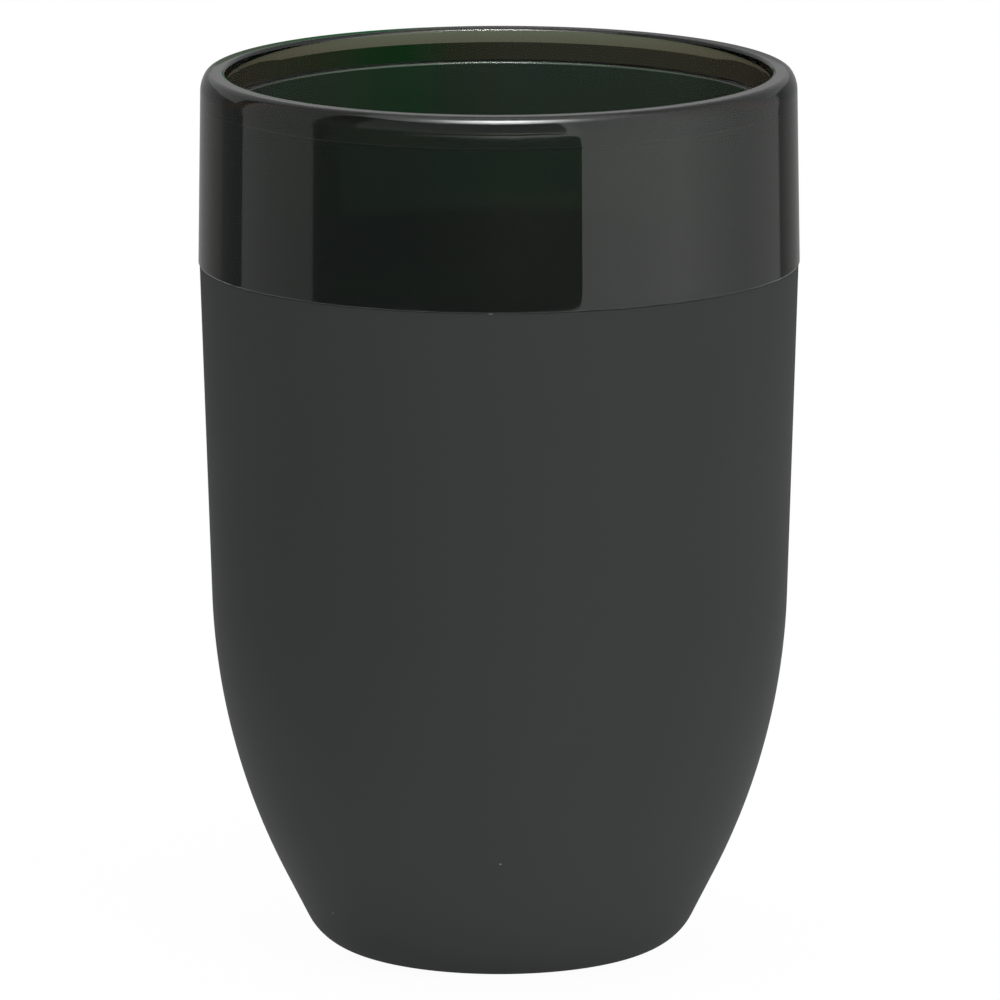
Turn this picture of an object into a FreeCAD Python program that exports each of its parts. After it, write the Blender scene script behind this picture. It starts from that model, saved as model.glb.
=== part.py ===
import FreeCAD, Part
import math
import os

from FreeCAD import Vector

# A double-walled bathroom tumbler. A clear liner holds the water, and a matte sleeve surrounds it with
# an air gap. A glossy collar closes the gap at the top: the liner's edge butts up into a rebate inside
# the collar, and the collar's spigot snaps down into the sleeve. A soft ring is the foot.
# Millimetres and degrees, +Z up. The origin is on the axis, in the plane that the foot stands on.

# Outside of the collar. The body is widest at the collar's foot, and draws in a little to the rim.
body_diameter = 77.0
body_height = 114.0
collar_height = 24.6
rim_draw_in = 0.4

# Lip: a full round leaves the collar's wall, and runs over a short slope into a tighter one at the top
lip_round = 3.7
lip_slope = 30.0
lip_flat = 0.1
lip_crown_round = 1.05
rim_inner_round = 0.5

# Outside of the sleeve, from the seam down: tapered wall, bowl, steep cone, base corner, flat base.
# Each runs smoothly into the next. Tapers and slopes are measured from upright.
seam_step = 0.15
seam_round = 0.12
wall_taper = 1.77
cone_height = 9.9
base_slope = 26.8
base_round = 7.5
base_draw_in = 20.3

# Walls, and the space between them
sleeve_wall = 2.0
sleeve_floor = 2.6
air_gap = 1.2
liner_wall = 1.8
liner_floor = 2.0
least_round = 1.0

# Ledge where part of the liner's top edge shows inside the mouth
ledge_drop = 4.25
ledge_width = 0.93
ledge_round = 0.3

# Spigot below the seam, with the bead that snaps into the sleeve
spigot_length = 7.0
spigot_wall = 1.0
spigot_round = 0.25
spigot_end_clearance = 0.3
bead_drop = 3.6
bead_height = 0.25
bead_crest = 0.5
bead_catch_angle = 45.0
bead_lead_angle = 30.0
socket_round = 0.3
fit_clearance = 0.05

# Ribs on the sleeve's floor that carry the liner
rib_count = 6
rib_thickness = 1.6
rib_height = 2.0
rib_inner_diameter = 12.0
rib_root = 0.5

# Underside: foot ring in its groove, shallow hollow, mark of the moulding gate
foot_stand = 0.4
foot_seat_depth = 1.4
foot_inset = 1.2
foot_width = 3.0
foot_round = 0.3
foot_land = 1.5
hollow_depth = 0.6
hollow_round = 0.4
gate_dish_diameter = 6.0
gate_dish_depth = 0.4
gate_nib_diameter = 1.8
gate_nib_height = 0.25

# Levels
base_z = foot_stand
rim_z = base_z + body_height
seam_z = rim_z - collar_height
ledge_z = rim_z - ledge_drop
sleeve_floor_z = base_z + sleeve_floor
liner_base_z = sleeve_floor_z + rib_height
liner_floor_z = liner_base_z + liner_floor
foot_seat_z = base_z + foot_seat_depth


def facing(angle):
    """Unit vector in the section plane, so many degrees above straight out from the axis."""
    turn = math.radians(angle)
    return Vector(math.cos(turn), 0, math.sin(turn))


OUT = facing(0)
UP = facing(90)
IN = facing(180)
DOWN = facing(270)


def side(normal, point):
    """A straight side of a section: the way it faces out of the material, and its distance that way."""
    return normal, normal.dot(point)


def level(normal, z):
    """A flat side that faces up or down at height z."""
    return side(normal, Vector(0, 0, z))


def upright(normal, radius):
    """An upright side that faces out or in at this radius."""
    return side(normal, Vector(radius, 0, 0))


AXIS = upright(IN, 0)


def set_in(face, depth):
    """The same side, moved into the material."""
    normal, reach = face
    return normal, reach - depth


def flipped(face):
    """The same side, facing the other way."""
    normal, reach = face
    return normal * -1, -reach


def meet(first, second):
    """The point where two sides cross."""
    (a, a_reach), (b, b_reach) = first, second
    turn = a.x * b.z - a.z * b.x
    r = (a_reach * b.z - b_reach * a.z) / turn
    z = (b_reach * a.x - a_reach * b.x) / turn
    return Vector(r, 0, z)


def corner(first, second, radius):
    """Start, middle and end of the round between two sides: an inner corner has a negative radius."""
    centre = meet(set_in(first, radius), set_in(second, radius))
    halfway = (first[0] + second[0]).normalize()
    return [centre + normal * radius for normal in (first[0], halfway, second[0])]


def turned(section):
    """Solid of revolution about Z. The section lists its sides in order, each with the round that joins
    it to the next side: positive on an outer corner, negative in an inner one, zero for a sharp edge."""
    faces = [face for face, radius in section]
    rounds = [radius for face, radius in section]
    corners = [corner(*ends) for ends in zip(faces, faces[1:] + faces[:1], rounds)]
    edges = []
    for before, here, radius in zip(corners[-1:] + corners[:-1], corners, rounds):
        edges.append(Part.LineSegment(before[2], here[0]).toShape())
        if radius:
            edges.append(Part.Arc(*here).toShape())
    return Part.Face(Part.Wire(edges)).revolve(Vector(), Vector(0, 0, 1), 360)


# The sleeve's outside, from which every wall of the cup is set inwards
body_radius = body_diameter / 2
base_flat_radius = body_radius - base_draw_in
wall_normal = facing(-wall_taper)
cone_normal = facing(-base_slope)
base_centre = Vector(base_flat_radius, 0, base_z + base_round)
WALL = side(wall_normal, Vector(body_radius - seam_step, 0, seam_z))
CONE = side(cone_normal, base_centre + cone_normal * base_round)

# The bowl's arc leaves the cone at the cone's top and runs into the wall
cone_top = meet(CONE, level(UP, base_z + cone_height))
bowl_radius = (WALL[1] - wall_normal.dot(cone_top)) / (1 - wall_normal.dot(cone_normal))


def corner_round(depth):
    """Round between cone and base on a surface this deep inside the sleeve."""
    return max(base_round - depth, least_round)


def cup_outside(depth, bottom_z):
    """Sides of a cup's outer surface, from the wall down to the base."""
    return [
        (set_in(WALL, depth), bowl_radius - depth),
        (set_in(CONE, depth), corner_round(depth)),
        (level(DOWN, bottom_z), 0),
    ]


def cup_inside(depth, floor_z, top_round):
    """Sides of a cup's inner surface, from the floor up to the wall and the round at its top."""
    return [
        (level(UP, floor_z), -corner_round(depth)),
        (flipped(set_in(CONE, depth)), depth - bowl_radius),
        (flipped(set_in(WALL, depth)), top_round),
    ]


# Fits, worked outwards from the liner to the sleeve's socket
liner_depth = sleeve_wall + air_gap
water_depth = liner_depth + liner_wall
liner_edge_radius = meet(set_in(WALL, liner_depth), level(UP, ledge_z)).x
ledge_radius = meet(set_in(WALL, water_depth), level(UP, ledge_z)).x
mouth_radius = ledge_radius + ledge_width
rebate_radius = liner_edge_radius + fit_clearance
spigot_radius = rebate_radius + spigot_wall
socket_radius = spigot_radius + fit_clearance
spigot_end_z = seam_z - spigot_length
socket_end_z = spigot_end_z - spigot_end_clearance
foot_outer_radius = base_flat_radius - foot_inset
foot_inner_radius = foot_outer_radius - foot_width


def bead(wall_radius):
    """Sides of the snap bead on an upright wall, from the wall above it to the wall below."""
    crest_radius = wall_radius + bead_height
    bead_z = seam_z - bead_drop
    catch = side(facing(bead_catch_angle), Vector(crest_radius, 0, bead_z + bead_crest / 2))
    lead = side(facing(-bead_lead_angle), Vector(crest_radius, 0, bead_z - bead_crest / 2))
    wall = upright(OUT, wall_radius)
    return [wall, catch, upright(OUT, crest_radius), lead, wall]


def lip_across(top, wall):
    """Slope across the rim's outer corner, so far in that the rounds at its ends leave just its flat."""
    slope = facing(lip_slope)
    crown_turn = slope.getAngle(top[0])
    wall_turn = slope.getAngle(wall[0])
    length = lip_crown_round * math.tan(crown_turn / 2) + lip_flat + lip_round * math.tan(wall_turn / 2)
    depth = length / (1 / math.tan(crown_turn) + 1 / math.tan(wall_turn))
    return set_in(side(slope, meet(top, wall)), depth)


def make_rim_collar():
    """Glossy ring: rim with its lip, rebate for the liner's edge, and spigot with its snap bead."""
    lean = math.degrees(math.atan2(rim_draw_in, collar_height))
    top = level(UP, rim_z)
    wall = side(facing(lean), Vector(body_radius, 0, seam_z))
    *spigot, spigot_tip = bead(spigot_radius)
    return turned([
        (top, lip_crown_round),
        (lip_across(top, wall), lip_round),
        (wall, seam_round),
        (level(DOWN, seam_z), 0),
        *[(face, 0) for face in spigot],
        (spigot_tip, spigot_round),
        (level(DOWN, spigot_end_z), 0),
        (upright(IN, rebate_radius), 0),
        (level(DOWN, ledge_z), 0),
        (upright(IN, mouth_radius), rim_inner_round),
    ])


def make_inner_liner():
    """Clear cup inside the sleeve. Its top edge meets the collar, and part of it shows as a ledge."""
    return turned([
        *cup_inside(water_depth, liner_floor_z, ledge_round),
        (level(UP, ledge_z), 0),
        *cup_outside(liner_depth, liner_base_z),
        (AXIS, 0),
    ])


def make_ribs():
    """Radial ribs on the sleeve's floor, out to where the liner's base starts to curve."""
    base = level(DOWN, liner_base_z)
    outer = corner(set_in(CONE, liner_depth), base, corner_round(liner_depth))[2].x
    inner = rib_inner_diameter / 2
    start = Vector(inner, -rib_thickness / 2, sleeve_floor_z - rib_root)
    ribs = []
    for index in range(rib_count):
        rib = Part.makeBox(outer - inner, rib_thickness, rib_height + rib_root, start)
        rib.rotate(Vector(), Vector(0, 0, 1), 360 * index / rib_count)
        ribs.append(rib)
    return ribs


def make_outer_sleeve():
    """Matte shell: socket for the collar, bowl, ribbed floor, and underside with the foot's groove."""
    *groove, socket_mouth = [flipped(face) for face in bead(socket_radius)[::-1]]
    hollow_z = base_z + hollow_depth
    dish_z = hollow_z + gate_dish_depth
    shell = turned([
        *cup_inside(sleeve_wall, sleeve_floor_z, 0),
        (level(UP, socket_end_z), 0),
        *[(face, 0) for face in groove],
        (socket_mouth, socket_round),
        (level(UP, seam_z), seam_round),
        *cup_outside(0, base_z),
        (upright(IN, foot_outer_radius + fit_clearance), 0),
        (level(DOWN, foot_seat_z), 0),
        (upright(OUT, foot_inner_radius - fit_clearance), 0),
        (level(DOWN, base_z), hollow_round),
        (upright(IN, foot_inner_radius - foot_land), 0),
        (level(DOWN, hollow_z), 0),
        (upright(IN, gate_dish_diameter / 2), 0),
        (level(DOWN, dish_z), 0),
        (upright(OUT, gate_nib_diameter / 2), 0),
        (level(DOWN, dish_z - gate_nib_height), 0),
        (AXIS, 0),
    ])
    return shell.fuse(make_ribs()).removeSplitter().Solids[0]


def make_foot_ring():
    """Soft ring pressed into the groove under the base, standing a little proud of it."""
    return turned([
        (level(UP, foot_seat_z), 0),
        (upright(OUT, foot_outer_radius), foot_round),
        (level(DOWN, 0), foot_round),
        (upright(IN, foot_inner_radius), 0),
    ])


def main():
    os.makedirs("parts", exist_ok=True)
    pieces = {
        "rim_collar": make_rim_collar(),
        "inner_liner": make_inner_liner(),
        "outer_sleeve": make_outer_sleeve(),
        "foot_ring": make_foot_ring(),
    }
    for name, piece in pieces.items():
        piece.exportStep(f"parts/{name}.step")
        print(name, piece.ShapeType, "valid" if piece.isValid() else "broken", round(piece.Volume), "mm3")
    print("bowl radius", round(bowl_radius, 2), "mouth radius", round(mouth_radius, 2))


main()
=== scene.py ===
import math

import bpy
from bpy.props import FloatProperty, FloatVectorProperty, IntProperty, PointerProperty
from mathutils import Matrix, Quaternion, Vector


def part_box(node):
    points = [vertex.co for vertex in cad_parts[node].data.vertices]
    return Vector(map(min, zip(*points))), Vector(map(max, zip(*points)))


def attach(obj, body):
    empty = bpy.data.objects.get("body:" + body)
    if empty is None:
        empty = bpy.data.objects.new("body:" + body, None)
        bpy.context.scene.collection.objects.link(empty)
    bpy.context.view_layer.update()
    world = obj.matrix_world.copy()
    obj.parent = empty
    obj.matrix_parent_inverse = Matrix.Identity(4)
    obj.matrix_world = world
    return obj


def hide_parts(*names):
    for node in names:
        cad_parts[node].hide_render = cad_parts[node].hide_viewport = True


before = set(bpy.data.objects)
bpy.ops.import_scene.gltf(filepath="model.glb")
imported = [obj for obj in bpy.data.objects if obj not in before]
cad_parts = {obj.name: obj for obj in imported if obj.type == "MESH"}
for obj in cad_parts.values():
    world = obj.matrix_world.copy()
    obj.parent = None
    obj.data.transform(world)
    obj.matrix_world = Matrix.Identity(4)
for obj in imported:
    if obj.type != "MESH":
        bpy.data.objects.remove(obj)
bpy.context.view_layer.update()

bl_info = {
    "name": "Bathroom Tumbler",
    "version": (1, 0, 0),
    "blender": (4, 5, 0),
    "location": "View3D > Sidebar > Tumbler",
    "description": "Models a double-walled bathroom tumbler and the small studio that it stands in",
    "category": "Object",
}

MM = 0.001

# The CAD model's box, and the levels and radii that its nodes give
COLLAR_LOW, COLLAR_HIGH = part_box("rim_collar")
LINER_LOW, LINER_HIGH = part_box("inner_liner")
SLEEVE_LOW, SLEEVE_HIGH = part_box("outer_sleeve")
FOOT_LOW, FOOT_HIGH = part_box("foot_ring")

# Fineness of the turned pieces
TURN_STEPS = 192
ARC_ERROR = 0.002 * MM
LEAST_ARC_STEPS = 5
MERGE_DISTANCE = 0.001 * MM
SMOOTH_ANGLE = math.radians(30)
RIB_BEVEL = 0.15 * MM
RIB_BEVEL_STEPS = 2


def length(name, description, metres):
    """A size that a user may change."""
    return FloatProperty(name=name, description=description, default=metres, min=0, unit="LENGTH")


def slope(name, description, degrees):
    """An angle that a user may change."""
    return FloatProperty(name=name, description=description, default=math.radians(degrees), unit="ROTATION")


def amount(name, description, value):
    """A plain number that a user may change."""
    return FloatProperty(name=name, description=description, default=value, min=0)


def colour(name, description, value):
    """A colour that a user may change."""
    return FloatVectorProperty(
        name=name, description=description, default=value, subtype="COLOR", min=0, max=1,
    )


class TumblerCollar(bpy.types.PropertyGroup):
    """Sizes of the glossy ring at the mouth."""

    radius: length("Radius", "Outside of the ring at the seam", COLLAR_HIGH.x)
    rim_z: length("Rim height", "Top of the rim above the floor", COLLAR_HIGH.z)
    end_z: length("Spigot end", "Lower end of the hidden spigot", COLLAR_LOW.z)
    draw_in: length("Draw-in", "How far the ring draws in from the seam to the rim", 0.4 * MM)
    lip_round: length("Lip round", "Full round that leaves the wall below the rim", 3.7 * MM)
    lip_slope: slope("Lip slope", "Slope between the lip's two rounds", 30)
    lip_flat: length("Lip flat", "Short straight of that slope", 0.1 * MM)
    crown_round: length("Crown round", "Tighter round at the top of the lip", 1.05 * MM)
    inner_round: length("Inner round", "Round on the rim's inner edge", 0.5 * MM)
    seam_round: length("Seam round", "Round on the ring's lower edge", 0.12 * MM)
    spigot_wall: length("Spigot wall", "Thickness of the spigot", 1.0 * MM)
    spigot_round: length("Spigot round", "Round that leads the spigot in", 0.25 * MM)
    bead_drop: length("Bead drop", "Snap bead below the seam", 3.6 * MM)
    bead_height: length("Bead height", "How far the snap bead stands out", 0.25 * MM)
    bead_crest: length("Bead crest", "Flat on top of the snap bead", 0.5 * MM)
    bead_catch: slope("Bead catch", "Slope of the side that holds", 45)
    bead_lead: slope("Bead lead", "Slope of the side that leads in", 30)


class TumblerLiner(bpy.types.PropertyGroup):
    """Sizes of the clear cup that holds the water."""

    edge_radius: length("Edge radius", "Outside of the top edge", LINER_HIGH.x)
    edge_z: length("Edge height", "Top edge, which shows as a ledge inside the mouth", LINER_HIGH.z)
    base_z: length("Base height", "Underside of the floor", LINER_LOW.z)
    wall: length("Wall", "Thickness of the wall", 1.8 * MM)
    floor: length("Floor", "Thickness of the floor", 2.0 * MM)
    ledge_width: length("Ledge width", "Part of the top edge that shows", 0.93 * MM)
    ledge_round: length("Ledge round", "Round on the top edge's inner corner", 0.3 * MM)
    glue_line: length("Glue line", "Bond between the top edge and the collar", 0.03 * MM)


class TumblerSleeve(bpy.types.PropertyGroup):
    """Sizes of the matte shell."""

    seam_z: length("Seam height", "Top edge, where the collar sits", SLEEVE_HIGH.z)
    base_z: length("Base height", "Flat base above the floor", SLEEVE_LOW.z)
    seam_step: length("Seam step", "How far the collar stands proud of the sleeve", 0.15 * MM)
    seam_round: length("Seam round", "Round on the top edge", 0.12 * MM)
    seam_gap: length("Seam gap", "Fine line between sleeve and collar", 0.03 * MM)
    wall_taper: slope("Wall taper", "Lean of the upper wall", 1.77)
    cone_height: length("Cone height", "Top of the steep cone above the base", 9.9 * MM)
    base_slope: slope("Base slope", "Lean of the cone above the base", 26.8)
    base_round: length("Base round", "Round between cone and base", 7.5 * MM)
    base_draw_in: length("Base draw-in", "From the widest radius in to the flat base", 20.3 * MM)
    least_round: length("Least round", "Smallest round inside a corner", 1.0 * MM)
    wall: length("Wall", "Thickness of the wall", 2.0 * MM)
    floor: length("Floor", "Thickness of the floor", 2.6 * MM)
    air_gap: length("Air gap", "Space between sleeve and liner", 1.2 * MM)
    fit: length("Fit", "Play between pieces that slide together", 0.05 * MM)
    end_gap: length("End gap", "Room below the spigot", 0.3 * MM)
    socket_round: length("Socket round", "Round at the socket's mouth", 0.3 * MM)
    rib_count: IntProperty(
        name="Ribs", description="Ribs on the floor that carry the liner", default=6, min=2,
    )
    rib_thickness: length("Rib thickness", "Thickness of a rib", 1.6 * MM)
    rib_start: length("Rib start", "Radius where the ribs start", 6.0 * MM)
    rib_root: length("Rib root", "How deep a rib runs into the floor", 0.5 * MM)
    hollow_depth: length("Hollow depth", "Hollow in the underside", 0.6 * MM)
    hollow_round: length("Hollow round", "Round at the hollow's edge", 0.4 * MM)
    dish_radius: length("Gate dish radius", "Dish round the moulding gate", 3.0 * MM)
    dish_depth: length("Gate dish depth", "Depth of that dish", 0.4 * MM)
    nib_radius: length("Gate nib radius", "Stub left by the moulding gate", 0.9 * MM)
    nib_height: length("Gate nib height", "Height of that stub", 0.25 * MM)


class TumblerFoot(bpy.types.PropertyGroup):
    """Sizes of the soft ring under the base."""

    radius: length("Radius", "Outside of the ring", FOOT_HIGH.x)
    top_z: length("Top", "Top of the ring, in its groove", FOOT_HIGH.z)
    width: length("Width", "Width of the ring", 3.0 * MM)
    edge_round: length("Edge round", "Round on the edges that stand on the shelf", 0.3 * MM)
    land: length("Land", "Flat between the ring and the hollow", 1.5 * MM)


class TumblerFinish(bpy.types.PropertyGroup):
    """Colours and finishes."""

    charcoal: colour("Charcoal", "Soft-touch coat of the sleeve", (0.0372, 0.0406, 0.0385))
    coat_roughness: amount("Coat roughness", "Roughness of the soft-touch coat", 0.62)
    smoke: colour("Smoke", "Surface colour of the collar's smoky plastic", (0.37, 0.83, 0.68))
    smoke_depth: colour("Smoke depth", "What a millimetre or so of it lets through", (0.59, 0.35, 0.29))
    smoke_density: amount("Smoke density", "Absorption per metre of the smoky plastic", 1000)
    green: colour("Green", "Surface colour of the liner's green plastic", (0.7, 0.75, 0.78))
    green_depth: colour("Green depth", "What a few millimetres of it let through", (0.05, 0.32, 0.14))
    green_density: amount("Green density", "Absorption per metre of the green plastic", 300)
    smoke_clearness: amount("Smoke clearness", "Share of light that enters the smoky plastic", 0.995)
    green_clearness: amount("Green clearness", "Share of light that enters the green plastic", 0.986)
    gloss_roughness: amount("Gloss roughness", "Roughness of the polished plastic", 0.016)
    bond: colour("Bond", "Glue between liner and collar", (0.004, 0.006, 0.005))
    rubber: colour("Rubber", "Soft foot ring", (0.018, 0.018, 0.018))
    dust: colour("Dust", "Fine dust on the sleeve", (0.2, 0.2, 0.19))


class TumblerStudio(bpy.types.PropertyGroup):
    """Camera and lights."""

    elevation: slope("Elevation", "Camera above the horizon", 11.2)
    distance: length("Distance", "Camera from its aim", 1.494)
    aim_x: length("Aim across", "Aim, to the right of the axis", 0.064 * MM)
    aim_z: length("Aim height", "Aim, above the floor", 58.47 * MM)
    roll: slope("Roll", "Camera's tilt to one side", -0.09)
    lens: amount("Lens", "Focal length in millimetres", 418.3)
    ambient: amount("Ambient", "Even light from all round", 0.57)
    key: amount("Key", "Brightness of the soft light on the right", 3.6)
    box_glow: amount("Soft box", "Brightness of the soft box above the rim", 21.0)
    tent_radius: length("Tent radius", "Round wall that the gloss mirrors", 0.4)
    tent_height: length("Tent height", "Height of that wall", 0.9)


PROPERTY_GROUPS = {
    "tumbler_collar": TumblerCollar,
    "tumbler_liner": TumblerLiner,
    "tumbler_sleeve": TumblerSleeve,
    "tumbler_foot": TumblerFoot,
    "tumbler_finish": TumblerFinish,
    "tumbler_studio": TumblerStudio,
}


# Sections: a side is held by the way it faces out of the material, and its reach that way

def facing(turn):
    """Unit vector in the section plane, at an angle above straight out from the axis."""
    return Vector((math.cos(turn), math.sin(turn)))


OUT = Vector((1, 0))
UP = Vector((0, 1))
IN = -OUT
DOWN = -UP


def side(normal, radius, z):
    """A straight side through a point of the section."""
    return normal, normal.dot(Vector((radius, z)))


def level(normal, z):
    """A flat side that faces up or down."""
    return side(normal, 0, z)


def upright(normal, radius):
    """An upright side that faces out or in."""
    return side(normal, radius, 0)


AXIS = upright(IN, 0)


def set_in(face, depth):
    """The same side, moved into the material."""
    normal, reach = face
    return normal, reach - depth


def flipped(face):
    """The same side, facing the other way."""
    normal, reach = face
    return -normal, -reach


def meet(first, second):
    """The point where two sides cross."""
    (a, a_reach), (b, b_reach) = first, second
    turn = a.cross(b)
    return Vector(((a_reach * b.y - b_reach * a.y) / turn, (b_reach * a.x - a_reach * b.x) / turn))


def corner(first, second, radius):
    """Points along the round between two sides: an inner corner has a negative radius."""
    if not radius:
        return [meet(first, second)]
    start, end = first[0], second[0]
    centre = meet(set_in(first, radius), set_in(second, radius))
    turn = math.atan2(start.cross(end), start.dot(end))
    widest_step = 2 * math.acos(1 - min(ARC_ERROR / abs(radius), 1))
    steps = max(math.ceil(abs(turn) / widest_step), LEAST_ARC_STEPS)
    return [centre + Matrix.Rotation(turn * step / steps, 2) @ start * radius for step in range(steps + 1)]


def outline(section):
    """Points round a section, which lists its sides in order, each with the round to the next side."""
    points = []
    for (first, radius), (second, _) in zip(section, section[1:] + section[:1]):
        points += corner(first, second, radius)
    return [Vector((point.x, 0, point.y)) for point in points]


class Cup:
    """Surfaces of the double wall, each set in from the sleeve's outside."""

    def __init__(self, scene):
        collar, sleeve, liner = scene.tumbler_collar, scene.tumbler_sleeve, scene.tumbler_liner
        foot = scene.tumbler_foot
        self.least_round = sleeve.least_round
        self.base_round = sleeve.base_round
        wall_normal = facing(-sleeve.wall_taper)
        cone_normal = facing(-sleeve.base_slope)
        base_centre = Vector((collar.radius - sleeve.base_draw_in, sleeve.base_z + sleeve.base_round))
        self.wall = side(wall_normal, collar.radius - sleeve.seam_step, sleeve.seam_z)
        self.cone = side(cone_normal, *(base_centre + cone_normal * sleeve.base_round))
        cone_top = meet(self.cone, level(UP, sleeve.base_z + sleeve.cone_height))
        self.bowl = (self.wall[1] - wall_normal.dot(cone_top)) / (1 - wall_normal.dot(cone_normal))
        self.liner_depth = sleeve.wall + sleeve.air_gap
        self.water_depth = self.liner_depth + liner.wall
        self.mouth_radius = self.radius_at(self.water_depth, liner.edge_z) + liner.ledge_width
        self.rebate_radius = liner.edge_radius + sleeve.fit
        self.spigot_radius = self.rebate_radius + collar.spigot_wall
        self.socket_radius = self.spigot_radius + sleeve.fit
        self.floor_z = sleeve.base_z + sleeve.floor
        self.groove = (foot.radius + sleeve.fit, foot.radius - foot.width - sleeve.fit)
        self.hollow_radius = foot.radius - foot.width - foot.land

    def radius_at(self, depth, z):
        """Radius of the wall at this depth and height."""
        return meet(set_in(self.wall, depth), level(UP, z)).x

    def corner_round(self, depth):
        """Round between cone and base at this depth."""
        return max(self.base_round - depth, self.least_round)

    def outside(self, depth, bottom_z):
        """Sides of an outer surface, from the wall down to the base."""
        return [
            (set_in(self.wall, depth), self.bowl - depth),
            (set_in(self.cone, depth), self.corner_round(depth)),
            (level(DOWN, bottom_z), 0),
        ]

    def inside(self, depth, floor_z, top_round):
        """Sides of an inner surface, from the floor up to the wall and the round at its top."""
        return [
            (level(UP, floor_z), -self.corner_round(depth)),
            (flipped(set_in(self.cone, depth)), depth - self.bowl),
            (flipped(set_in(self.wall, depth)), top_round),
        ]


def lip_across(collar, top, wall):
    """Slope across the rim's outer corner, so far in that the rounds at its ends leave just its flat."""
    slope_normal = facing(collar.lip_slope)
    crown_turn = slope_normal.angle(top[0])
    wall_turn = slope_normal.angle(wall[0])
    rounds = collar.crown_round * math.tan(crown_turn / 2) + collar.lip_round * math.tan(wall_turn / 2)
    depth = (rounds + collar.lip_flat) / (1 / math.tan(crown_turn) + 1 / math.tan(wall_turn))
    return set_in(side(slope_normal, *meet(top, wall)), depth)


def snap_bead(scene, wall_radius):
    """Sides of the snap bead on an upright wall, from the wall above it to the wall below."""
    collar = scene.tumbler_collar
    crest = wall_radius + collar.bead_height
    middle_z = scene.tumbler_sleeve.seam_z - collar.bead_drop
    catch = side(facing(collar.bead_catch), crest, middle_z + collar.bead_crest / 2)
    lead = side(facing(-collar.bead_lead), crest, middle_z - collar.bead_crest / 2)
    wall = upright(OUT, wall_radius)
    return [wall, catch, upright(OUT, crest), lead, wall]


# Modelling

def start_mesh(name, add, **settings):
    """Adds a primitive as the only selected object, names it and opens it in edit mode."""
    bpy.ops.object.select_all(action="DESELECT")
    add(**settings)
    bpy.context.object.name = bpy.context.object.data.name = name
    bpy.ops.object.mode_set(mode="EDIT")
    return bpy.context.object


def clean_mesh():
    """Closes seams and poles of the mesh in edit mode, and turns its faces outwards."""
    bpy.ops.mesh.select_all(action="SELECT")
    bpy.ops.mesh.remove_doubles(threshold=MERGE_DISTANCE)
    bpy.ops.mesh.normals_make_consistent(inside=False)


def turned(name, section):
    """A turned piece: its section is drawn point by point as a chain of edges, and spun about the axis.
    A section that ends on the axis stays open there, and the spin closes it in a pole."""
    points = outline(section)
    points.insert(0, points[-1])
    if section[-1][0] == AXIS:
        points.pop()
    piece = start_mesh(name, bpy.ops.mesh.primitive_plane_add, size=MM, calc_uvs=False)
    bpy.ops.mesh.merge(type="CENTER")
    bpy.ops.transform.translate(value=points[0])
    for here, there in zip(points, points[1:]):
        bpy.ops.mesh.extrude_region_move(TRANSFORM_OT_translate={"value": there - here})
    bpy.ops.mesh.select_all(action="SELECT")
    bpy.ops.mesh.spin(steps=TURN_STEPS, angle=math.tau, center=(0, 0, 0), axis=(0, 0, 1))
    clean_mesh()
    bpy.ops.object.mode_set(mode="OBJECT")
    return piece


def finish_piece(piece, node, material):
    """Smooths a piece, keeps the light even on its flats, and puts it in its node's place."""
    bpy.ops.object.shade_smooth_by_angle(angle=SMOOTH_ANGLE)
    bpy.ops.object.modifier_add(type="WEIGHTED_NORMAL")
    even = piece.modifiers[-1]
    even.keep_sharp = True
    bpy.ops.object.modifier_apply(modifier=even.name)
    piece.data.materials.clear()
    piece.data.materials.append(material)
    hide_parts(node)
    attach(piece, "root")


# Materials

WHITE = (1, 1, 1, 1)
PLASTIC_IOR = 1.57
COAT_SPECULAR = 0.06
BOND_SPECULAR = 0.1
RUBBER_SPECULAR = 0.35

# How far the roughness strays: either way on the coat, as shares of its mean on polished plastic
COAT_STRAY = 0.03
GLOSS_LOW = 0.6
GLOSS_HIGH = 1.6

# The coat is a little darker where hands wipe it, and its nicks stay this near its top edge
WIPED_SHADE = 0.94
NICK_HEIGHT = 0.15 * MM


def feed(tree, value, socket):
    """Sets a socket to a value, or links it to an output."""
    if isinstance(value, bpy.types.NodeSocket):
        tree.links.new(value, socket)
    else:
        socket.default_value = value


def place(tree, kind, inputs=None, **settings):
    """Adds a node with its settings, and sets or links its inputs by name or number."""
    node = tree.nodes.new(kind)
    for key, value in settings.items():
        setattr(node, key, value)
    for key, value in (inputs or {}).items():
        feed(tree, value, node.inputs[key])
    return node


def reckon(tree, operation, *values):
    """Output of a Math node."""
    return place(tree, "ShaderNodeMath", dict(enumerate(values)), operation=operation).outputs[0]


def blend_colour(tree, factor, first, second):
    """Output of a colour mix. A Mix node keeps its colour sockets at places 6 and 7."""
    return place(tree, "ShaderNodeMix", {0: factor, 6: first, 7: second}, data_type="RGBA").outputs[2]


def rgba(value):
    """A colour with full alpha, for a node's socket."""
    return (*value, 1)


def new_group(name, inputs, output):
    """A shader node group with a Vector input, these other inputs and one output."""
    tree = bpy.data.node_groups.new(name, "ShaderNodeTree")
    tree.interface.new_socket("Vector", in_out="INPUT", socket_type="NodeSocketVector")
    for key, default in inputs.items():
        socket = tree.interface.new_socket(key, in_out="INPUT", socket_type="NodeSocketFloat")
        socket.default_value = default
    tree.interface.new_socket(output, in_out="OUTPUT", socket_type="NodeSocketFloat")
    return tree, tree.nodes.new("NodeGroupInput").outputs, tree.nodes.new("NodeGroupOutput").inputs[output]


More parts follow.
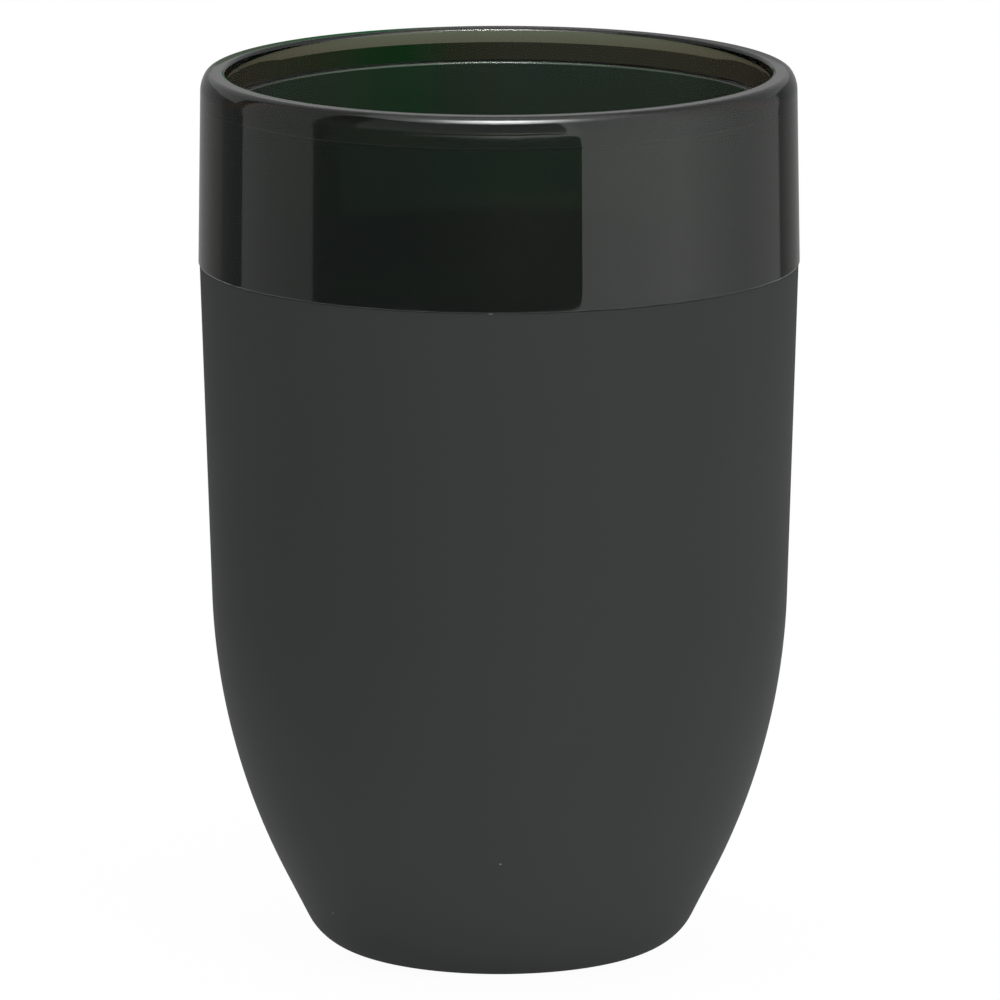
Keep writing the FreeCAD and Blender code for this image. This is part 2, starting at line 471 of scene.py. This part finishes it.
def make_specks():
    """Sparse round specks: a mask that is 1 on a speck."""
    tree, given, mask = new_group("specks", {"Scale": 400, "Size": 0.05, "Share": 0.05}, "Mask")
    cells = place(tree, "ShaderNodeTexVoronoi", {"Vector": given["Vector"], "Scale": given["Scale"]})
    pick = place(tree, "ShaderNodeSeparateColor", {"Color": cells.outputs["Color"]}).outputs["Red"]
    near = reckon(tree, "LESS_THAN", cells.outputs["Distance"], given["Size"])
    chosen = reckon(tree, "LESS_THAN", pick, given["Share"])
    feed(tree, reckon(tree, "MULTIPLY", near, chosen), mask)


def make_grain():
    """Fine grain of a moulded or sprayed surface: a height."""
    tree, given, height = new_group("fine_grain", {"Scale": 5000, "Detail": 2}, "Height")
    inputs = {"Vector": given["Vector"], "Scale": given["Scale"], "Detail": given["Detail"]}
    feed(tree, place(tree, "ShaderNodeTexNoise", inputs).outputs["Fac"], height)


def make_handling():
    """Slow changes of finish, as from hands and wiping: a value between two limits."""
    tree, given, value = new_group("handling", {"Scale": 50, "Low": 0, "High": 1}, "Value")
    inputs = {"Vector": given["Vector"], "Scale": given["Scale"], "Detail": 3, "Distortion": 0.4}
    cloud = place(tree, "ShaderNodeTexNoise", inputs).outputs["Fac"]
    limits = {"From Min": 0.3, "From Max": 0.7, "To Min": given["Low"], "To Max": given["High"]}
    feed(tree, place(tree, "ShaderNodeMapRange", {"Value": cloud, **limits}).outputs["Result"], value)


GROUPS = {"specks": make_specks, "fine_grain": make_grain, "handling": make_handling}


def effect(tree, name, where, **inputs):
    """Output of one of the shared effects, at these coordinates and with its own values."""
    if name not in bpy.data.node_groups:
        GROUPS[name]()
    group = bpy.data.node_groups[name]
    return place(tree, "ShaderNodeGroup", {"Vector": where, **inputs}, node_tree=group).outputs[0]


def new_material(name):
    """An empty material: itself, its tree, its output node and the piece's own coordinates."""
    material = bpy.data.materials.new(name)
    material.use_nodes = True
    tree = material.node_tree
    tree.nodes.clear()
    output = place(tree, "ShaderNodeOutputMaterial")
    return material, tree, output, place(tree, "ShaderNodeTexCoord").outputs["Object"]


def grain_bump(tree, where, depth, strength, **grain):
    """Normal of a surface with a fine grain of this depth."""
    height = effect(tree, "fine_grain", where, **grain)
    inputs = {"Height": height, "Distance": depth, "Strength": strength}
    return place(tree, "ShaderNodeBump", inputs).outputs["Normal"]


def solid_surface(tree, output, inputs):
    """Gives a material a Principled surface with these inputs."""
    shader = place(tree, "ShaderNodeBsdfPrincipled", inputs)
    feed(tree, shader.outputs[0], output.inputs["Surface"])


def glowing_surface(tree, output, inputs):
    """Gives a material a surface that glows, with these inputs."""
    shader = place(tree, "ShaderNodeEmission", inputs)
    feed(tree, shader.outputs[0], output.inputs["Surface"])


def charcoal_coat(finish, seam_z):
    """Soft-touch coat: fine grain, wiped patches, dust, and pale nicks along the edge at the seam."""
    material, tree, output, where = new_material("charcoal_coat")
    dust = effect(tree, "specks", where, Scale=420, Size=0.05, Share=0.02)
    nicks = effect(tree, "specks", where, Scale=900, Size=0.25, Share=0.05)
    height = place(tree, "ShaderNodeSeparateXYZ", {"Vector": where}).outputs["Z"]
    edge = reckon(tree, "GREATER_THAN", height, seam_z - NICK_HEIGHT)
    marks = reckon(tree, "MAXIMUM", dust, reckon(tree, "MULTIPLY", edge, nicks))
    patches = effect(tree, "handling", where, Scale=18)
    wiped = [WIPED_SHADE * part for part in finish.charcoal]
    coat = blend_colour(tree, patches, rgba(wiped), rgba(finish.charcoal))
    low, high = finish.coat_roughness - COAT_STRAY, finish.coat_roughness + COAT_STRAY
    solid_surface(tree, output, {
        "Base Color": blend_colour(tree, marks, coat, rgba(finish.dust)),
        "Roughness": effect(tree, "handling", where, Scale=45, Low=low, High=high),
        "Specular IOR Level": COAT_SPECULAR,
        "Normal": grain_bump(tree, where, depth=0.004 * MM, strength=0.6, Scale=5200),
    })
    return material


def polished_plastic(name, rough, clearness, surface, depth, density):
    """Polished see-through plastic that takes up light as it crosses: faint ripples and wiped patches."""
    material, tree, output, where = new_material(name)
    low, high = rough * GLOSS_LOW, rough * GLOSS_HIGH
    solid_surface(tree, output, {
        "Base Color": rgba(surface),
        "Roughness": effect(tree, "handling", where, Scale=70, Low=low, High=high),
        "IOR": PLASTIC_IOR,
        "Transmission Weight": clearness,
        "Normal": grain_bump(tree, where, depth=0.0005 * MM, strength=0.5, Scale=120, Detail=1),
    })
    tint = {"Color": rgba(depth), "Density": density}
    feed(tree, place(tree, "ShaderNodeVolumeAbsorption", tint).outputs[0], output.inputs["Volume"])
    return material


def smoky_plastic(finish):
    """The collar's plastic: so dark that only its rim lets light through."""
    return polished_plastic(
        "smoky_plastic", finish.gloss_roughness, finish.smoke_clearness,
        finish.smoke, finish.smoke_depth, finish.smoke_density,
    )


def green_plastic(finish):
    """The liner's plastic: a clear bottle green."""
    return polished_plastic(
        "green_plastic", finish.gloss_roughness, finish.green_clearness,
        finish.green, finish.green_depth, finish.green_density,
    )


def seat_bond(finish):
    """Dark, dull glue on the hidden face that seats the liner's edge."""
    material, tree, output, where = new_material("seat_bond")
    solid_surface(tree, output, {
        "Base Color": rgba(finish.bond),
        "Roughness": effect(tree, "handling", where, Scale=200, Low=0.7, High=0.9),
        "Specular IOR Level": BOND_SPECULAR,
        "Normal": grain_bump(tree, where, depth=0.01 * MM, strength=0.5, Scale=3000),
    })
    return material


def moulded_rubber(finish):
    """Soft black rubber with a moulded grain and a little dust."""
    material, tree, output, where = new_material("moulded_rubber")
    dust = effect(tree, "specks", where, Scale=900, Size=0.12, Share=0.06)
    solid_surface(tree, output, {
        "Base Color": blend_colour(tree, dust, rgba(finish.rubber), rgba(finish.dust)),
        "Roughness": effect(tree, "handling", where, Scale=200, Low=0.68, High=0.86),
        "Specular IOR Level": RUBBER_SPECULAR,
        "Normal": grain_bump(tree, where, depth=0.02 * MM, strength=0.7, Scale=3000, Detail=3),
    })
    return material


def emitter(name, radiance):
    """A plain glowing material for the studio."""
    material, tree, output, _ = new_material(name)
    glowing_surface(tree, output, {"Strength": radiance})
    material.cycles.emission_sampling = "NONE"
    return material


# Studio

# The round wall, by azimuth in degrees from the camera, positive to the right: start, end, and the grey or
# colour at both. A green strip at the back shows through the wall of the cup.
DUN = (0.22, 0.205, 0.19)
LEAF = (0.02, 0.19, 0.06)
MOSS = (0.16, 0.195, 0.14)
SAGE = (0.26, 0.28, 0.26)
TENT_PANELS = [
    (-180, -178.7, DUN, DUN),
    (-178.7, -177.2, DUN, LEAF),
    (-177.2, -176, LEAF, LEAF),
    (-176, -173.7, LEAF, MOSS),
    (-173.7, -170, MOSS, SAGE),
    (-170, -128, 0.33, 0.16),
    (-128, -112, 0.11, 0.11),
    (-112, -72, 0.39, 0.42),
    (-72, -40, 0.12, 0.12),
    (-40, -12, 0.12, 0.65),
    (-12, 4, 0.65, 1.4),
    (4, 30, 1.4, 1.1),
    (30, 70, 0.94, 1.07),
    (70, 90, 1.07, 0.76),
    (90, 103, 0.76, 0.56),
    (103, 132, 0.56, 0.36),
    (132, 170, 0.12, 0.33),
    (170, 180, 0.3, 0.22),
]
PANEL_EDGE = 0.3
TENT_SIDES = 180
CEILING_SIDES = 64

# Cards just inside that wall: azimuths and heights, of which None is the top of the wall, then how far the
# corners at the end are rounded, in degrees and in height, and the material
SQUARE = (0, 0)
CARDS = [
    ("front_flag", -55, 30.2, 37.3 * MM, 65.48 * MM, (5, 1.8 * MM), "dark_card"),
    ("upper_flag", -55, 24, 105 * MM, 142 * MM, (5, 14 * MM), "dark_card"),
    ("top_flag", -55, 25, 160 * MM, None, SQUARE, "dim_card"),
    ("back_card", 118, 242, 175 * MM, None, SQUARE, "pale_card"),
    ("shelf_card", 172, 188, 0, 40 * MM, SQUARE, "white_card"),
]
CARD_GLOWS = {"dark_card": 0.12, "dim_card": 0.35, "pale_card": 0.42, "white_card": 1, "ceiling_card": 1}
CARD_INSET = 10 * MM
CARD_STEPS = 24
CORNER_STEPS = 8

# The soft box above the rim: its middle, the half widths at which it is half as bright, its whole size, and
# the even glow that it has everywhere
BOX_SPOT = Vector((0.012, -0.267, 0.45))
BOX_HALF_WIDTHS = (0.1, 0.075)
BOX_SIZE = (0.6, 0.44)
BOX_FILL = 1.3

# The soft light on the right
KEY_SPOT = (0.93, -1.33, 0.5)
KEY_AIM = (0, 0, 0.06)
KEY_SIZE = (0.9, 0.9)

# The floor: its size, its matte grey and glow, how white it is to the eye, how much light it throws back, and
# the distances from the axis between which that light fades in, a painted shadow round the foot. Nearer in,
# under the hollow, it is full, as painted light on the underside.
FLOOR_SIZE = 16
FLOOR_CUTS = 3
FLOOR_GREY = (0.95, 0.95, 0.95, 1)
FLOOR_GLOW = 1.03
FLOOR_WHITE = 0.935
FLOOR_BOUNCE = 0.95
FLOOR_SHADE = (14 * MM, 42 * MM)

# The camera
SENSOR_WIDTH = 36
CLIP_START = 0.05
CLIP_END = 30


def panel_colour(brightness):
    """Colour of a panel that is given as a grey or a colour."""
    return rgba(brightness if isinstance(brightness, tuple) else [brightness] * 3)


def tent_glow():
    """Panels and dark strips round the studio wall. The ramp's own two stops are taken out."""
    material, tree, output, where = new_material("tent_panels")
    across = place(tree, "ShaderNodeSeparateXYZ", {"Vector": where}).outputs
    turn = reckon(tree, "ARCTAN2", across["X"], reckon(tree, "MULTIPLY", across["Y"], -1))
    share = reckon(tree, "MULTIPLY_ADD", turn, 1 / math.tau, 0.5)
    ramp = place(tree, "ShaderNodeValToRGB", {"Fac": share})
    stops = ramp.color_ramp.elements
    stops.remove(stops[1])
    before = None
    for start, end, first, last in TENT_PANELS:
        if first != before:
            stops.new((start + PANEL_EDGE) / 360 + 0.5).color = panel_colour(first)
        stops.new((end - PANEL_EDGE) / 360 + 0.5).color = panel_colour(last)
        before = last
    stops.remove(stops[0])
    glowing_surface(tree, output, {"Color": ramp.outputs["Color"], "Strength": 1})
    material.cycles.emission_sampling = "NONE"
    return material


def soft_box_glow(radiance):
    """Soft box that is brightest in the middle and fades to an even glow at its edges."""
    material, tree, output, where = new_material("soft_box")
    across = place(tree, "ShaderNodeSeparateXYZ", {"Vector": where}).outputs
    x = reckon(tree, "DIVIDE", reckon(tree, "SUBTRACT", across["X"], BOX_SPOT.x), BOX_HALF_WIDTHS[0])
    y = reckon(tree, "DIVIDE", reckon(tree, "SUBTRACT", across["Y"], BOX_SPOT.y), BOX_HALF_WIDTHS[1])
    square = reckon(tree, "MULTIPLY_ADD", x, x, reckon(tree, "MULTIPLY", y, y))
    share = reckon(tree, "POWER", 2.0, reckon(tree, "MULTIPLY", square, -1))
    strength = reckon(tree, "MULTIPLY_ADD", share, radiance, BOX_FILL)
    glowing_surface(tree, output, {"Strength": strength})
    return material


def only_mirrored(thing):
    """Shows a studio wall or card in gloss and through clear plastic, and nowhere else."""
    thing.visible_camera = False
    thing.visible_diffuse = False
    thing.visible_shadow = False
    thing.visible_volume_scatter = False


def curved_card(name, start, end, low, high, radius, material, corner_turn, corner_drop):
    """A card bent round the axis, from one azimuth to another, with the corners at its end rounded."""
    def foot(azimuth):
        """Lower edge of the card at an azimuth."""
        turn = math.radians(azimuth)
        return Vector((math.sin(turn) * radius, -math.cos(turn) * radius, low))

    height = high - low
    spun = end - corner_turn
    card = start_mesh(name, bpy.ops.mesh.primitive_plane_add, size=MM, calc_uvs=False)
    bpy.ops.mesh.merge(type="CENTER")
    bpy.ops.transform.translate(value=foot(start))
    bpy.ops.mesh.extrude_region_move(TRANSFORM_OT_translate={"value": (0, 0, height)})
    bpy.ops.mesh.select_all(action="SELECT")
    bpy.ops.mesh.spin(steps=CARD_STEPS, angle=math.radians(start - spun), center=(0, 0, 0), axis=(0, 0, 1))
    here, tall = foot(spun), height
    rise = Vector((0, 0, height / 2))
    for step in range(1, CORNER_STEPS + 1 if corner_turn else 1):
        turn = math.radians(90 * step / CORNER_STEPS)
        there = foot(spun + corner_turn * math.sin(turn))
        left = height - 2 * corner_drop * (1 - math.cos(turn))
        bpy.ops.mesh.extrude_region_move(TRANSFORM_OT_translate={"value": there - here})
        bpy.ops.transform.resize(value=(1, 1, left / tall), center_override=there + rise)
        here, tall = there, left
    bpy.ops.object.mode_set(mode="OBJECT")
    card.data.materials.append(material)
    only_mirrored(card)


def area_light(name, spot, aim, size, radiance):
    """A rectangular soft light of this radiance, aimed at a point."""
    bpy.ops.object.light_add(type="AREA", location=spot)
    lamp = bpy.context.object
    lamp.name = lamp.data.name = name
    lamp.rotation_euler = (Vector(aim) - Vector(spot)).to_track_quat("-Z", "Y").to_euler()
    lamp.data.shape = "RECTANGLE"
    lamp.data.size, lamp.data.size_y = size
    lamp.data.energy = radiance * size[0] * size[1] * math.pi
    lamp.visible_camera = False
    return lamp


def white_studio(studio):
    """World: white for the eye, in gloss and through clear plastic, and an even light on all else."""
    world = bpy.data.worlds.new("studio")
    world.use_nodes = True
    bpy.context.scene.world = world
    tree = world.node_tree
    tree.nodes.clear()
    ray = place(tree, "ShaderNodeLightPath").outputs
    seen = reckon(tree, "MAXIMUM", ray["Is Camera Ray"], ray["Is Glossy Ray"])
    seen = reckon(tree, "MAXIMUM", seen, ray["Is Transmission Ray"])
    even = place(tree, "ShaderNodeBackground", {"Color": WHITE, "Strength": studio.ambient})
    white = place(tree, "ShaderNodeBackground", {"Color": WHITE, "Strength": 1})
    mix = place(tree, "ShaderNodeMixShader", {0: seen, 1: even.outputs[0], 2: white.outputs[0]})
    output = place(tree, "ShaderNodeOutputWorld")
    feed(tree, mix.outputs[0], output.inputs["Surface"])


def pale_floor():
    """Floor: nearly white to the eye, with the cup's soft shadow, dimmer in gloss and in the light that it
    throws back near the cup, as a painted shadow, but full under the hollow as painted light, and clear when
    seen from below."""
    material, tree, output, where = new_material("pale_floor")
    ray = place(tree, "ShaderNodeLightPath").outputs
    seen = reckon(tree, "MAXIMUM", ray["Is Camera Ray"], ray["Is Transmission Ray"])
    dull = reckon(tree, "MAXIMUM", ray["Is Diffuse Ray"], ray["Is Glossy Ray"])
    # The glow that it throws back fades in away from the axis, a painted shadow round the foot, and is full
    # under the hollow, painted light on the underside.
    away = place(tree, "ShaderNodeVectorMath", {0: where}, operation="LENGTH").outputs["Value"]
    limits = {"From Min": FLOOR_SHADE[0], "From Max": FLOOR_SHADE[1], "To Max": FLOOR_BOUNCE}
    light = place(tree, "ShaderNodeMapRange", {"Value": away, **limits}).outputs["Result"]
    under = reckon(tree, "MULTIPLY", reckon(tree, "LESS_THAN", away, FLOOR_SHADE[0]), FLOOR_BOUNCE)
    light = reckon(tree, "MAXIMUM", light, under)
    bounce = reckon(tree, "MULTIPLY", reckon(tree, "GREATER_THAN", dull, seen), light)
    share = reckon(tree, "MULTIPLY_ADD", seen, FLOOR_WHITE, bounce)
    matte = place(tree, "ShaderNodeBsdfDiffuse", {"Color": FLOOR_GREY})
    white = place(tree, "ShaderNodeEmission", {"Color": WHITE, "Strength": FLOOR_GLOW})
    top = place(tree, "ShaderNodeMixShader", {0: share, 1: matte.outputs[0], 2: white.outputs[0]})
    below = place(tree, "ShaderNodeNewGeometry").outputs["Backfacing"]
    gone = place(tree, "ShaderNodeBsdfTransparent")
    both = place(tree, "ShaderNodeMixShader", {0: below, 1: top.outputs[0], 2: gone.outputs[0]})
    feed(tree, both.outputs[0], output.inputs["Surface"])
    material.cycles.emission_sampling = "NONE"
    return material


# Operators

class TUMBLER_OT_collar(bpy.types.Operator):
    """Turn the glossy ring: rim with its lip, rebate for the liner's edge, and spigot with its snap bead"""

    bl_idname = "tumbler.collar"
    bl_label = "Rim collar"

    def execute(self, context):
        scene = context.scene
        collar, sleeve, liner = scene.tumbler_collar, scene.tumbler_sleeve, scene.tumbler_liner
        cup = Cup(scene)
        lean = math.atan2(collar.draw_in, collar.rim_z - sleeve.seam_z)
        top = level(UP, collar.rim_z)
        wall = side(facing(lean), collar.radius, sleeve.seam_z)
        *spigot, tip = snap_bead(scene, cup.spigot_radius)
        piece = turned("collar", [
            (top, collar.crown_round),
            (lip_across(collar, top, wall), collar.lip_round),
            (wall, collar.seam_round),
            (level(DOWN, sleeve.seam_z), 0),
            *[(face, 0) for face in spigot],
            (tip, collar.spigot_round),
            (level(DOWN, collar.end_z), 0),
            (upright(IN, cup.rebate_radius), 0),
            (level(DOWN, liner.edge_z), 0),
            (upright(IN, cup.mouth_radius), collar.inner_round),
        ])
        finish_piece(piece, "rim_collar", smoky_plastic(scene.tumbler_finish))
        self.bond_seat(scene, piece)
        return {"FINISHED"}

    def bond_seat(self, scene, piece):
        """Puts glue on the hidden faces that seat the liner's edge."""
        piece.data.materials.append(seat_bond(scene.tumbler_finish))
        seat_z = scene.tumbler_liner.edge_z
        for face in piece.data.polygons:
            face.material_index = int(abs(face.center.z - seat_z) < MERGE_DISTANCE)


class TUMBLER_OT_liner(bpy.types.Operator):
    """Turn the clear cup, whose top edge shows as a ledge inside the mouth"""

    bl_idname = "tumbler.liner"
    bl_label = "Inner liner"

    def execute(self, context):
        scene = context.scene
        liner = scene.tumbler_liner
        cup = Cup(scene)
        piece = turned("liner", [
            *cup.inside(cup.water_depth, liner.base_z + liner.floor, liner.ledge_round),
            (level(UP, liner.edge_z - liner.glue_line), 0),
            *cup.outside(cup.liner_depth, liner.base_z),
            (AXIS, 0),
        ])
        finish_piece(piece, "inner_liner", green_plastic(scene.tumbler_finish))
        return {"FINISHED"}


class TUMBLER_OT_sleeve(bpy.types.Operator):
    """Turn the matte shell with its socket and underside, and unite it with the ribs on its floor"""

    bl_idname = "tumbler.sleeve"
    bl_label = "Outer sleeve"

    def execute(self, context):
        scene = context.scene
        sleeve, collar, foot = scene.tumbler_sleeve, scene.tumbler_collar, scene.tumbler_foot
        cup = Cup(scene)
        *groove, mouth = [flipped(face) for face in snap_bead(scene, cup.socket_radius)[::-1]]
        groove_outer, groove_inner = cup.groove
        hollow_z = sleeve.base_z + sleeve.hollow_depth
        dish_z = hollow_z + sleeve.dish_depth
        piece = turned("sleeve", [
            *cup.inside(sleeve.wall, cup.floor_z, 0),
            (level(UP, collar.end_z - sleeve.end_gap), 0),
            *[(face, 0) for face in groove],
            (mouth, sleeve.socket_round),
            (level(UP, sleeve.seam_z - sleeve.seam_gap), sleeve.seam_round),
            *cup.outside(0, sleeve.base_z),
            (upright(IN, groove_outer), 0),
            (level(DOWN, foot.top_z), 0),
            (upright(OUT, groove_inner), 0),
            (level(DOWN, sleeve.base_z), sleeve.hollow_round),
            (upright(IN, cup.hollow_radius), 0),
            (level(DOWN, hollow_z), 0),
            (upright(IN, sleeve.dish_radius), 0),
            (level(DOWN, dish_z), 0),
            (upright(OUT, sleeve.nib_radius), 0),
            (level(DOWN, dish_z - sleeve.nib_height), 0),
            (AXIS, 0),
        ])
        self.add_ribs(scene, cup, piece)
        coat = charcoal_coat(scene.tumbler_finish, sleeve.seam_z)
        finish_piece(piece, "outer_sleeve", coat)
        return {"FINISHED"}

    def add_ribs(self, scene, cup, shell):
        """Models one rib, copies it round the axis, and unites the ribs with the shell."""
        sleeve, liner = scene.tumbler_sleeve, scene.tumbler_liner
        base = level(DOWN, liner.base_z)
        ends = corner(set_in(cup.cone, cup.liner_depth), base, cup.corner_round(cup.liner_depth))
        rib_end = ends[-1].x
        rib_height = liner.base_z - cup.floor_z + sleeve.rib_root
        size = Vector((rib_end - sleeve.rib_start, sleeve.rib_thickness, rib_height))
        middle = Vector(((rib_end + sleeve.rib_start) / 2, 0, liner.base_z - size.z / 2))
        ribs = start_mesh("ribs", bpy.ops.mesh.primitive_cube_add, size=1, calc_uvs=False)
        bpy.ops.transform.resize(value=size)
        bpy.ops.transform.translate(value=middle)
        bpy.ops.mesh.bevel(offset=RIB_BEVEL, segments=RIB_BEVEL_STEPS)
        bpy.ops.mesh.select_all(action="SELECT")
        bpy.ops.mesh.spin(
            steps=sleeve.rib_count - 1, dupli=True, angle=math.tau * (1 - 1 / sleeve.rib_count),
            center=(0, 0, 0), axis=(0, 0, 1),
        )
        clean_mesh()
        bpy.ops.object.mode_set(mode="OBJECT")
        bpy.ops.object.select_all(action="DESELECT")
        bpy.context.view_layer.objects.active = shell
        shell.select_set(True)
        bpy.ops.object.modifier_add(type="BOOLEAN")
        unite = shell.modifiers[-1]
        unite.operation = "UNION"
        unite.solver = "EXACT"
        unite.object = ribs
        bpy.ops.object.modifier_apply(modifier=unite.name)
        bpy.data.objects.remove(ribs)


class TUMBLER_OT_foot(bpy.types.Operator):
    """Turn the soft ring that the cup stands on"""

    bl_idname = "tumbler.foot"
    bl_label = "Foot ring"

    def execute(self, context):
        scene = context.scene
        foot = scene.tumbler_foot
        piece = turned("foot", [
            (level(UP, foot.top_z), 0),
            (upright(OUT, foot.radius), foot.edge_round),
            (level(DOWN, 0), foot.edge_round),
            (upright(IN, foot.radius - foot.width), 0),
        ])
        finish_piece(piece, "foot_ring", moulded_rubber(scene.tumbler_finish))
        return {"FINISHED"}


class TUMBLER_OT_stage(bpy.types.Operator):
    """Set up the floor, the lights, the wall that the gloss mirrors, and the camera"""

    bl_idname = "tumbler.stage"
    bl_label = "Studio"

    def execute(self, context):
        scene = context.scene
        studio = scene.tumbler_studio
        scene.view_settings.view_transform = "Standard"
        white_studio(studio)
        self.add_floor()
        self.add_tent(studio)
        self.add_lights(studio)
        self.add_camera(scene, studio)
        return {"FINISHED"}

    def add_floor(self):
        """Lays the floor in the plane that the cup stands on."""
        floor = start_mesh("floor", bpy.ops.mesh.primitive_plane_add, size=FLOOR_SIZE, calc_uvs=False)
        bpy.ops.mesh.subdivide(number_cuts=FLOOR_CUTS)
        bpy.ops.object.mode_set(mode="OBJECT")
        floor.data.materials.append(pale_floor())

    def add_tent(self, studio):
        """Puts up the round wall, its cards and its ceiling."""
        radius, top = studio.tent_radius, studio.tent_height
        add_circle = bpy.ops.mesh.primitive_circle_add
        tent = start_mesh("tent", add_circle, vertices=TENT_SIDES, radius=radius, calc_uvs=False)
        bpy.ops.mesh.extrude_region_move(TRANSFORM_OT_translate={"value": (0, 0, top)})
        bpy.ops.object.mode_set(mode="OBJECT")
        tent.data.materials.append(tent_glow())
        only_mirrored(tent)
        glows = {name: emitter(name, radiance) for name, radiance in CARD_GLOWS.items()}
        for name, start, end, low, high, corners, glow in CARDS:
            curved_card(name, start, end, low, high or top, radius - CARD_INSET, glows[glow], *corners)
        ceiling = start_mesh(
            "ceiling", add_circle, vertices=CEILING_SIDES, radius=radius, fill_type="NGON",
            location=(0, 0, top), calc_uvs=False,
        )
        bpy.ops.object.mode_set(mode="OBJECT")
        ceiling.data.materials.append(glows["ceiling_card"])
        only_mirrored(ceiling)

    def add_lights(self, studio):
        """Hangs the soft box above the rim, and the soft light on the right."""
        box = start_mesh("soft_box", bpy.ops.mesh.primitive_plane_add, size=1, calc_uvs=False)
        bpy.ops.transform.resize(value=(*BOX_SIZE, 1))
        bpy.ops.transform.translate(value=BOX_SPOT)
        bpy.ops.object.mode_set(mode="OBJECT")
        box.data.materials.append(soft_box_glow(studio.box_glow))
        only_mirrored(box)
        box.visible_transmission = False
        key = area_light("key", KEY_SPOT, KEY_AIM, KEY_SIZE, studio.key)
        key.visible_glossy = False
        key.visible_transmission = False

    def add_camera(self, scene, studio):
        """Sets the camera at its distance from the aim, with its slight roll."""
        aim = Vector((studio.aim_x, 0, studio.aim_z))
        back = Vector((0, -math.cos(studio.elevation), math.sin(studio.elevation)))
        bpy.ops.object.camera_add(location=aim + back * studio.distance)
        camera = bpy.context.object
        camera.name = camera.data.name = "camera"
        level_view = (-back).to_track_quat("-Z", "Y")
        camera.rotation_euler = (level_view @ Quaternion((0, 0, 1), studio.roll)).to_euler()
        camera.data.lens = studio.lens
        camera.data.sensor_width = SENSOR_WIDTH
        camera.data.clip_start = CLIP_START
        camera.data.clip_end = CLIP_END
        scene.camera = camera


class TUMBLER_PT_panel(bpy.types.Panel):
    """Pieces and studio of the tumbler"""

    bl_idname = "TUMBLER_PT_panel"
    bl_label = "Bathroom Tumbler"
    bl_space_type = "VIEW_3D"
    bl_region_type = "UI"
    bl_category = "Tumbler"

    def draw(self, context):
        """Lists the operators, and every value that a user may change."""
        for operator in OPERATORS:
            self.layout.operator(operator.bl_idname)
        for name, group in PROPERTY_GROUPS.items():
            box = self.layout.box()
            values = getattr(context.scene, name)
            for key in group.__annotations__:
                box.prop(values, key)


OPERATORS = (TUMBLER_OT_collar, TUMBLER_OT_liner, TUMBLER_OT_sleeve, TUMBLER_OT_foot, TUMBLER_OT_stage)
CLASSES = (*PROPERTY_GROUPS.values(), *OPERATORS, TUMBLER_PT_panel)


def register():
    """Registers the classes, and gives each scene its values."""
    for cls in CLASSES:
        bpy.utils.register_class(cls)
    for name, group in PROPERTY_GROUPS.items():
        setattr(bpy.types.Scene, name, PointerProperty(type=group))


def unregister():
    """Takes back what register() did."""
    for name in PROPERTY_GROUPS:
        delattr(bpy.types.Scene, name)
    for cls in reversed(CLASSES):
        bpy.utils.unregister_class(cls)


def main():
    """Models the pieces and the studio."""
    register()
    bpy.ops.tumbler.collar()
    bpy.ops.tumbler.liner()
    bpy.ops.tumbler.sleeve()
    bpy.ops.tumbler.foot()
    bpy.ops.tumbler.stage()


if __name__ == "__main__":
    main()
